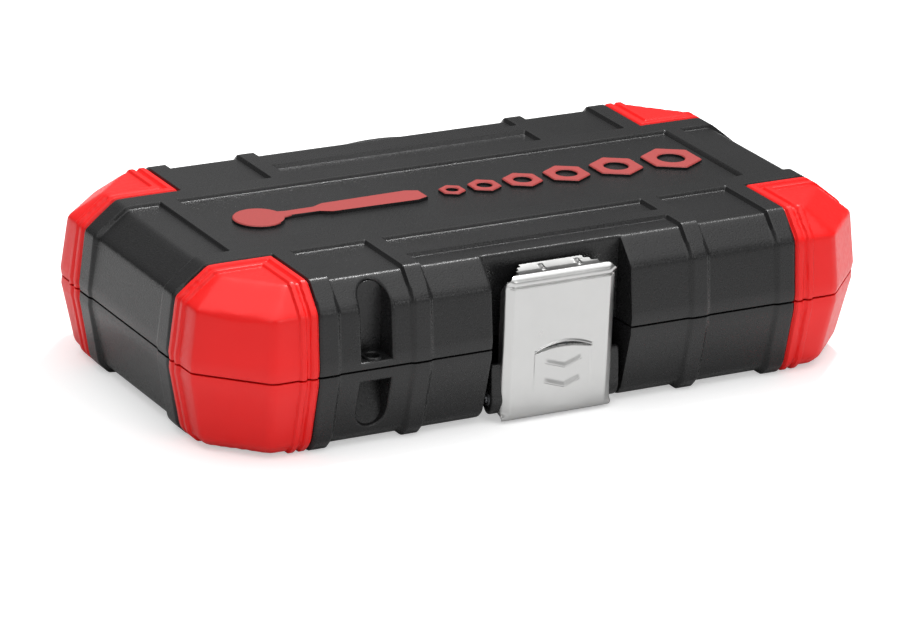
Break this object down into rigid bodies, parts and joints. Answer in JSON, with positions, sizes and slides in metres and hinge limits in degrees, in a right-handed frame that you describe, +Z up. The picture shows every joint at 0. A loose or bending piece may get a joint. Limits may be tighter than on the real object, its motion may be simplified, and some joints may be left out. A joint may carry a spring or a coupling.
{
  "type": "socket wrench set in case",
  "caption": "Compact socket wrench set with ratchet, sockets, bits and bars in a hinged black plastic case with red corner guards and a steel front latch.",
  "frame": {"origin": "middle of the overall box, on the plane of the case's feet", "axes": "+X to the right along the case with the latch side in front, +Y to the hinge, +Z up"},
  "size_m": [0.245, 0.1456, 0.0567],
  "materials": {
    "black_case": "spark-eroded matte",
    "red_guard": "semi-gloss",
    "bright_steel": "satin zinc plate",
    "chrome_steel": "polished chrome plate",
    "dark_steel": "phosphated",
    "black_foam": "closed-cell foam",
    "red_foam": "closed-cell foam",
    "black_grip": "fine matte",
    "red_grip": "satin"
  },
  "bodies": {
    "base": {"base_shell": "black_case", "base_guard_back_left": "red_guard", "base_guard_back_right": "red_guard", "base_guard_front_left": "red_guard", "base_guard_front_right": "red_guard", "hinge_pin": "bright_steel", "latch_pin": "bright_steel", "foam_upper": "black_foam", "foam_lower": "red_foam", "extension_long": "chrome_steel", "extension_short": "chrome_steel", "spinner_grip": "red_grip", "spinner_shaft": "chrome_steel", "bit_adapter": "chrome_steel", "ratchet_body": "chrome_steel", "ratchet_cover": "chrome_steel", "ratchet_grip": "black_grip", "joint_lower": "chrome_steel", "socket_4": "chrome_steel", "socket_4_5": "chrome_steel", "socket_5": "chrome_steel", "socket_5_5": "chrome_steel", "socket_6": "chrome_steel", "socket_7": "chrome_steel", "socket_8": "chrome_steel", "socket_9": "chrome_steel", "socket_10": "chrome_steel", "socket_11": "chrome_steel", "socket_12": "chrome_steel", "socket_13": "chrome_steel", "socket_14": "chrome_steel", "bit_1": "dark_steel", "bit_2": "dark_steel", "bit_3": "dark_steel", "bit_4": "dark_steel", "bit_5": "dark_steel", "bit_6": "dark_steel", "bit_7": "dark_steel", "bit_8": "dark_steel", "bit_9": "dark_steel", "bit_10": "dark_steel", "bit_11": "dark_steel", "bit_12": "dark_steel"},
    "lid": {"lid_shell": "black_case", "lid_guard_back_left": "red_guard", "lid_guard_back_right": "red_guard", "lid_guard_front_left": "red_guard", "lid_guard_front_right": "red_guard", "lid_pad": "black_foam"},
    "latch": {"latch_plate": "bright_steel", "latch_carrier": "black_case"},
    "lever": {"ratchet_lever": "black_grip"},
    "drive": {"ratchet_drive": "chrome_steel"},
    "button": {"ratchet_button": "chrome_steel"},
    "cross": {"joint_cross": "dark_steel"},
    "joint_end": {"joint_upper": "chrome_steel"}
  },
  "joints": [
    {"name": "lid_hinge", "type": "hinge", "parent": "base", "child": "lid", "pos_m": [0, 0.06775, 0.0272], "axis": [-1, 0, 0], "range_deg": [0, 170]},
    {"name": "latch_pivot", "type": "hinge", "parent": "base", "child": "latch", "pos_m": [0, -0.06625, 0.0082], "axis": [1, 0, 0], "range_deg": [0, 90]},
    {"name": "lever_pivot", "type": "hinge", "parent": "base", "child": "lever", "pos_m": [-0.09, 0.01025, 0.0299], "axis": [0, 0, 1], "range_deg": [-25, 25]},
    {"name": "drive_spin", "type": "hinge", "parent": "base", "child": "drive", "pos_m": [-0.09, 0.01025, 0.0222], "axis": [0, 0, 1], "continuous": true},
    {"name": "button_press", "type": "slide", "parent": "drive", "child": "button", "axis": [0, 0, -1], "range_m": [0, 0.0012], "stiffness_N_per_m": 60},
    {"name": "cross_hinge", "type": "hinge", "parent": "base", "child": "cross", "pos_m": [0.09, -0.01275, 0.0237], "axis": [0, 1, 0], "range_deg": [-20, 20]},
    {"name": "fork_hinge", "type": "hinge", "parent": "cross", "child": "joint_end", "pos_m": [0.09, -0.01275, 0.0237], "axis": [1, 0, 0], "range_deg": [-20, 20]}
  ]
}
